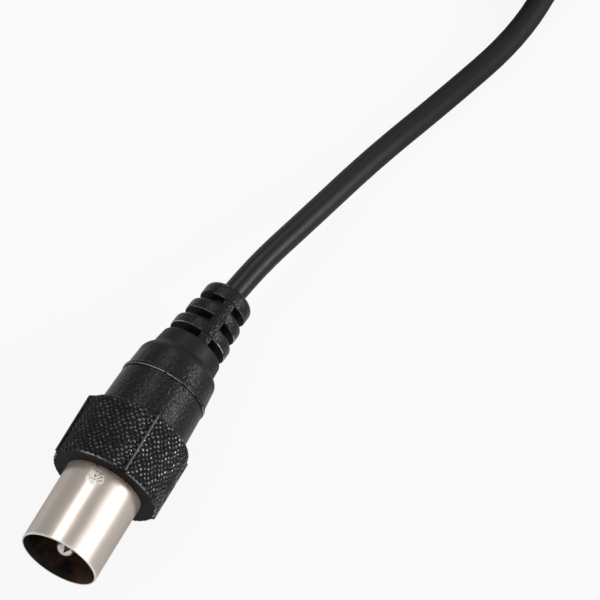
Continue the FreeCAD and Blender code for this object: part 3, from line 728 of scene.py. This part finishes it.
def pin_surface():
    """Round-nosed pin with a solder cup, and which of its faces lie in its cleft.

    A profile turned about the axis. The cleft where the rolled edges meet opens away from the tip: there the
    radius is less by a depth that falls off across the cleft's half width.
    """
    stem_radius, cup_radius, cup_bore = 1.0, 0.75, 0.25
    stem_end, cup_floor, cup_end = 13.5, 15.0, 16.5
    cleft_tip, cleft_wide, cleft_narrow, cleft_end = 0.9, 1.5, 5.8, 6.0
    deepest, slit, gap = 0.6, 0.05, 0.45
    profile = np.concatenate([
        arc((PIN_NOSE, 0), PIN_RADIUS, 180, 90, 18),
        line((PIN_NOSE, PIN_RADIUS), (PIN_SHOULDER, PIN_RADIUS), 24),
        np.array([
            (PIN_SHOULDER, PIN_RADIUS), (PIN_SHOULDER, stem_radius), (stem_end, stem_radius),
            (stem_end, cup_radius), (cup_end, cup_radius), (cup_end, cup_bore), (cup_floor, cup_bore),
            (cup_floor, 0.0),
        ]),
    ])
    radius = profile[:, 1:2]
    over_cleft, elsewhere = np.linspace(-30, 30, 25), np.linspace(35, 325, 59)
    angles = np.radians(np.concatenate([over_cleft, elsewhere]))
    local, station, turn = turned_surface(profile, angles)
    half_width = np.interp(
        station, [cleft_tip, cleft_wide, cleft_narrow, cleft_end], [slit, gap, gap, slit])
    share = np.clip(1.6 - 1.6 * np.abs(turn) * radius / half_width, 0, 1)
    depth = deepest * share * (station > cleft_tip) * (station < cleft_end)
    local[..., 1:] *= np.maximum(1 - depth / np.maximum(radius, deepest), 0.3)[..., None]
    return local, (depth[:-1] > 0.1).ravel()


class LEAD_OT_stage(bpy.types.Operator):
    """Camera at the picture's angle, white table, strip light overhead and wide light at the side"""

    bl_idname = "lead.stage"
    bl_label = "Stage"

    # Each lamp's name, which is also its power's, its place and its size, in metres. All face the origin.
    LAMPS = (
        ("strip", (0.248, 0.194, 0.517), (0.5, 0.18)),
        ("bar", (0.238, -0.478, 0.228), (0.3, 0.08)),
        ("window", (0.246, -0.476, 0.273), (0.7, 0.63)),
    )
    TABLE_HALF = 1.5
    TABLE_CELLS = 4

    def execute(self, context):
        stage = context.scene.lead_stage
        camera = bpy.data.objects.new("camera", bpy.data.cameras.new("camera"))
        context.scene.collection.objects.link(camera)
        level = math.cos(stage.elevation)
        back = Vector((math.sin(stage.azimuth) * level, -math.cos(stage.azimuth) * level,
                       math.sin(stage.elevation)))
        camera.location = Vector(stage.target) + back * stage.distance
        camera.rotation_euler = back.to_track_quat("Z", "Y").to_euler()
        camera.data.lens = stage.lens
        camera.data.clip_end = 20.0
        context.scene.camera = camera
        context.scene.view_settings.view_transform = "Standard"
        self.lay_floor(context)
        self.light(context, stage)
        return {"FINISHED"}

    def lay_floor(self, context):
        """A white table: a flat grid.

        What the camera sees of it is mostly its own white, with a faint shadow. Reflections show more of how it
        is lit.
        """
        finish = Finish("white_table", "ShaderNodeMixShader")
        camera, glossy, through = (
            finish.node("ShaderNodeLightPath", output=name)
            for name in ("Is Camera Ray", "Is Glossy Ray", "Is Transmission Ray"))
        white = finish.math("MAXIMUM", camera * SEEN_WHITE, (glossy + through) * MIRRORED_WHITE)
        colour = tuple(context.scene.lead_colours.floor)
        tint = finish.mix(finish.noise(0.2, detail=1.0), colour, shaded(colour, 0.99))
        lit = finish.node("ShaderNodeBsdfDiffuse", None, {"Color": tint}, output="BSDF")
        sockets = {"Color": (1, 1, 1, 1), "Strength": 1.0}
        glow = finish.node("ShaderNodeEmission", None, sockets, output="Emission")
        for socket, value in enumerate((white, lit, glow)):
            finish.feed(socket, value)
        side = self.TABLE_CELLS + 1
        across = np.linspace(-self.TABLE_HALF, self.TABLE_HALF, side)
        x, y = np.meshgrid(across, across, indexing="ij")
        points = np.stack([x, y, 0 * x], axis=-1).reshape(-1, 3)
        cell = np.arange(self.TABLE_CELLS)
        corner = (cell[:, None] * side + cell[None, :]).ravel()
        mesh = bpy.data.meshes.new("table")
        faces = np.stack([corner, corner + side, corner + side + 1, corner + 1], axis=-1)
        mesh.from_pydata(points, [], faces)
        mesh.materials.append(finish.material)
        table = bpy.data.objects.new("table", mesh)
        context.scene.collection.objects.link(table)

    def light(self, context, stage):
        """Softboxes that give the plug's metal its two bright bands, and an even grey surround."""
        for name, place, size in self.LAMPS:
            lamp = bpy.data.lights.new(name, "AREA")
            lamp.shape = "RECTANGLE"
            lamp.size, lamp.size_y = size
            lamp.energy = getattr(stage, name)
            holder = bpy.data.objects.new(name, lamp)
            holder.location = place
            facing = Vector(place).normalized()
            along = (Vector((1, 0, 0)) - facing * facing.x).normalized()
            holder.rotation_euler = Matrix((along, facing.cross(along), facing)).transposed().to_euler()
            context.scene.collection.objects.link(holder)
        world = bpy.data.worlds.new("surround")
        world.use_nodes = True
        background = world.node_tree.nodes["Background"]
        background.inputs["Color"].default_value = (1, 1, 1, 1)
        background.inputs["Strength"].default_value = stage.sky
        context.scene.world = world


class LEAD_OT_mouldings(bpy.types.Operator):
    """Black mouldings of both plugs, with knurled collar, fins and ribbed strain relief"""

    bl_idname = "lead.mouldings"
    bl_label = "Mouldings"

    def execute(self, context):
        sizes = context.scene.lead_sizes
        makers = {PLAIN: moulding_finish, MATT: matte_finish, KNURLED: knurl_finish}
        finishes = [makers[kind](context.scene.lead_colours) for kind in sorted(makers)]
        local, values, kinds = moulding_surface(sizes)
        faces = ring_faces(*local.shape[:2], closed=True)
        for prefix in PLUGS:
            points = carry(local, plug_pose(prefix, sizes))
            piece = make_piece(
                prefix + "moulding", points, faces, finishes, sharp=34, values=values, kinds=kinds)
            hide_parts(prefix + "overmould")
        return {"FINISHED"}


class LEAD_OT_contacts(bpy.types.Operator):
    """Nickel-plated outer contact and centre pin of both plugs"""

    bl_idname = "lead.contacts"
    bl_label = "Contacts"

    SLEEVE_COLUMNS = 192

    def execute(self, context):
        sizes = context.scene.lead_sizes
        colours = context.scene.lead_colours
        plate = nickel_finish("worn_nickel", colours.nickel, worn=True)
        bright = nickel_finish("pin_nickel", colours.pin, worn=False)
        bore = bore_finish(colours)
        # The cleft's finish is darker and browner than the pin's: painted shade in the crease, tinted brown.
        seam = plain_finish("browned_seam", (0.5, 0.37, 0.31), metallic=0.5, rough=0.35, size=0.3 * MM)
        profile, (first, last) = sleeve_profile()
        angles = np.linspace(0, 2 * math.pi, self.SLEEVE_COLUMNS, endpoint=False)
        shell, station, turn = turned_surface(profile, angles)
        values = {"station": station, "turn": turn}
        shell_faces = ring_faces(*shell.shape[:2], closed=True)
        row = np.arange(len(shell_faces)) // self.SLEEVE_COLUMNS
        within = (row >= first) & (row < last)
        pin, cleft = pin_surface()
        pin_faces = ring_faces(*pin.shape[:2], closed=False)
        for prefix in PLUGS:
            pose = plug_pose(prefix, sizes)
            points = carry(shell, pose)
            sleeve = make_piece(
                prefix + "sleeve", points, shell_faces, [plate, bore], sharp=30, values=values, kinds=within)
            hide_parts(prefix + "outer_sleeve")
            points = carry(pin, pose)
            contact = make_piece(prefix + "pin", points, pin_faces, [bright, seam], sharp=30, kinds=cleft)
            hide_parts(prefix + "centre_pin")
        return {"FINISHED"}


class LEAD_OT_inner_pieces(bpy.types.Operator):
    """Finishes of the insulators, ferrules and stripped cable ends inside the plugs"""

    bl_idname = "lead.inner_pieces"
    bl_label = "Inner pieces"

    def execute(self, context):
        # Each finish: name, colour, metallic, roughness and size of its clouds.
        finishes = (
            plain_finish("insulator_plastic", (0.03, 0.02, 0.014), 0.0, 0.5, 0.8 * MM),
            plain_finish("ferrule_brass", (0.6, 0.45, 0.22), 1.0, 0.3, 0.5 * MM),
            plain_finish("braid_copper", (0.6, 0.32, 0.19), 1.0, 0.4, 0.15 * MM, stretch=(1, 0.4, 0.4)),
            plain_finish("dielectric_plastic", (0.8, 0.8, 0.77), 0.0, 0.4, 0.6 * MM),
            plain_finish("conductor_copper", (0.7, 0.38, 0.24), 1.0, 0.25, 0.2 * MM),
        )
        for prefix in PLUGS:
            for name, finish in zip(INNER_PIECES, finishes):
                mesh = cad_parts[prefix + name].data
                mesh.materials.clear()
                mesh.materials.append(finish)
        return {"FINISHED"}


class LEAD_OT_strap(bpy.types.Operator):
    """Strap around the hank"""

    bl_idname = "lead.strap"
    bl_label = "Strap"

    THICK, CORNER = 0.5 * MM, 1.9 * MM
    CORNER_STEPS, SECTION_STEPS = 9, 24
    # Powers that make the section flat, with round edges.
    FLATNESS = (0.25, 0.6)

    def execute(self, context):
        low, high = (np.array(corner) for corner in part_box("cable_tie"))
        points, faces = self.band(low, high)
        strap = make_piece("strap", points, faces, [strap_finish()], sharp=40)
        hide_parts("cable_tie")
        return {"FINISHED"}

    def band(self, low, high):
        """A flat section with round edges, carried round a rectangle with round corners.

        The section is a circle whose cosine and sine are raised to powers. Each corner of the rectangle is a
        quarter circle about its own middle.
        """
        quarter = np.linspace(0, QUARTER, self.CORNER_STEPS)
        swing = (np.arange(4)[:, None] * QUARTER + quarter).ravel()
        side_y = np.repeat([1, -1, -1, 1], self.CORNER_STEPS)
        side_z = np.repeat([1, 1, -1, -1], self.CORNER_STEPS)
        middle = (low + high) / 2
        half = (high - low) / 2
        around = np.linspace(0, 2 * math.pi, self.SECTION_STEPS, endpoint=False)
        across, out = (
            np.sign(wave) * np.abs(wave) ** power
            for wave, power in zip((np.cos(around), np.sin(around)), self.FLATNESS))
        reach = self.CORNER - self.THICK / 2 + out[:, None] * self.THICK / 2
        y = middle[1] + side_y * (half[1] - self.CORNER) + reach * np.cos(swing)
        z = middle[2] + side_z * (half[2] - self.CORNER) + reach * np.sin(swing)
        x = middle[0] + across[:, None] * half[0] + 0 * y
        return np.stack([x, y, z], axis=-1).reshape(-1, 3), ring_faces(*x.shape, closed=True)


class LEAD_OT_cable(bpy.types.Operator):
    """Cable from the near plug through the hank to the far plug"""

    bl_idname = "lead.cable"
    bl_label = "Cable"

    # Points of the cable from the near plug to the hank and from the hank to the far plug, in millimetres.
    LEAD = ((1.57, 0, 6.65), (8.62, 0, 6.65), (22.397, -1.105, 6.169), (33.8, -3.65, 4.6), (44.8, -5.51, 1.86),
            (56.1, -9.17, 1.42), (67.167, -12.75, 1.925), (77.367, -12.75, 1.925))
    TAIL = ((121.983, -12.75, 10.475), (128.483, -12.75, 10.475), (135.6, -10.5, 9.9),
            (143.173, -8.481, 7.755), (156.95, -8.0, 6.65), (164.0, -8.0, 6.65))
    # Place of each turn in the hank: outer or inner column, and layer.
    TURNS = ((0, 0), (1, 0), (1, 1), (0, 1), (0, 2), (1, 2), (1, 3), (0, 3))
    # Room between two turns, and the length over which a turn moves to the next one's place.
    ROOM, MOVE = 0.05 * MM, 12 * MM
    # Degrees between two points of a fold.
    FOLD_STEP = 30

    def execute(self, context):
        sizes = context.scene.lead_sizes
        route = np.concatenate([np.array(self.LEAD) * MM, self.hank(sizes), np.array(self.TAIL) * MM])
        curve = bpy.data.curves.new("cable", "CURVE")
        curve.dimensions = "3D"
        curve.resolution_u = 6
        curve.bevel_depth = sizes.cable_diameter / 2
        curve.bevel_resolution = 6
        curve.use_fill_caps = True
        spline = curve.splines.new("NURBS")
        spline.points.add(len(route) - 1)
        spline.points.foreach_set("co", np.column_stack([route, np.ones(len(route))]).ravel())
        spline.order_u = 3
        spline.use_endpoint_u = True
        spline.use_smooth = True
        curve.materials.append(jacket_finish(context.scene.lead_colours))
        cable = bpy.data.objects.new("cable", curve)
        context.scene.collection.objects.link(cable)
        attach(cable, "root")
        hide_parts("cable_lead", "cable_hank", "cable_tail")
        on_it = [bpy.data.objects[name] for name in ("strap", "far_moulding", "far_sleeve", "far_pin")]
        on_it += [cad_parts["far_" + name] for name in INNER_PIECES]
        return {"FINISHED"}

    def hank(self, sizes):
        """Turns of the hank: straight run, fold, return run, fold.

        A fold's points stand half a step in and then at every step, on the polygon round the fold's circle.
        Along the return run a turn moves to the next turn's place, the last turn first and the first turn last.
        """
        low, high = (np.array(corner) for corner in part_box("cable_hank"))
        pitch = sizes.cable_diameter + self.ROOM
        outer = (high[1] - low[1]) / 2
        middle = (high[1] + low[1]) / 2
        near, far = low[0] + outer, high[0] - outer
        radii = [outer - pitch * (0.5 + column) for column, _ in self.TURNS]
        heights = [low[2] + pitch * (0.5 + layer) for _, layer in self.TURNS]
        swing = np.radians(np.arange(-90 + self.FOLD_STEP / 2, 90, self.FOLD_STEP))
        outward = 1 / math.cos(math.radians(self.FOLD_STEP / 2))
        run = np.linspace(near, far, 6)[1:-1]
        back = np.linspace(far, near, 13)[1:-1]
        stagger = (far - near - self.MOVE) / (len(radii) - 2)
        parts = []
        for turn, (radius, height) in enumerate(zip(radii, heights)):
            parts.append((run, 0 * run + middle - radius, 0 * run + height))
            if turn == len(radii) - 1:
                break
            out = radius * outward
            parts.append((far + out * np.cos(swing), middle + out * np.sin(swing), 0 * swing + height))
            next_radius, next_height = radii[turn + 1], heights[turn + 1]
            start = far - stagger * (len(radii) - 2 - turn)
            share = ease(np.clip((start - back) / self.MOVE, 0, 1))
            across = radius + (next_radius - radius) * share
            parts.append((back, middle + across, height + (next_height - height) * share))
            out = next_radius * outward
            parts.append((near - out * np.cos(swing), middle - out * np.sin(swing), 0 * swing + next_height))
        return np.concatenate([np.stack(part, axis=-1) for part in parts])


class LEAD_PT_panel(bpy.types.Panel):
    """Lists the lead's pieces, sizes, colours and stage"""

    bl_idname = "LEAD_PT_panel"
    bl_label = "Antenna lead"
    bl_space_type = "VIEW_3D"
    bl_region_type = "UI"
    bl_category = "Lead"

    def draw(self, context):
        for operator in OPERATORS:
            self.layout.operator(operator.bl_idname)
        for group in (context.scene.lead_sizes, context.scene.lead_colours, context.scene.lead_stage):
            for name in group.__annotations__:
                self.layout.prop(group, name)


OPERATORS = (
    LEAD_OT_stage, LEAD_OT_mouldings, LEAD_OT_contacts, LEAD_OT_inner_pieces, LEAD_OT_strap, LEAD_OT_cable)
GROUPS = {"lead_sizes": LeadSizes, "lead_colours": LeadColours, "lead_stage": LeadStage}


def register():
    for group in GROUPS.values():
        bpy.utils.register_class(group)
    for name, group in GROUPS.items():
        setattr(bpy.types.Scene, name, PointerProperty(type=group))
    for operator in OPERATORS:
        bpy.utils.register_class(operator)
    bpy.utils.register_class(LEAD_PT_panel)


def unregister():
    bpy.utils.unregister_class(LEAD_PT_panel)
    for operator in reversed(OPERATORS):
        bpy.utils.unregister_class(operator)
    for name in GROUPS:
        delattr(bpy.types.Scene, name)
    for group in reversed(list(GROUPS.values())):
        bpy.utils.unregister_class(group)


def main():
    register()
    bpy.ops.lead.stage()
    bpy.ops.lead.mouldings()
    bpy.ops.lead.contacts()
    bpy.ops.lead.inner_pieces()
    bpy.ops.lead.strap()
    bpy.ops.lead.cable()


if __name__ == "__main__":
    main()
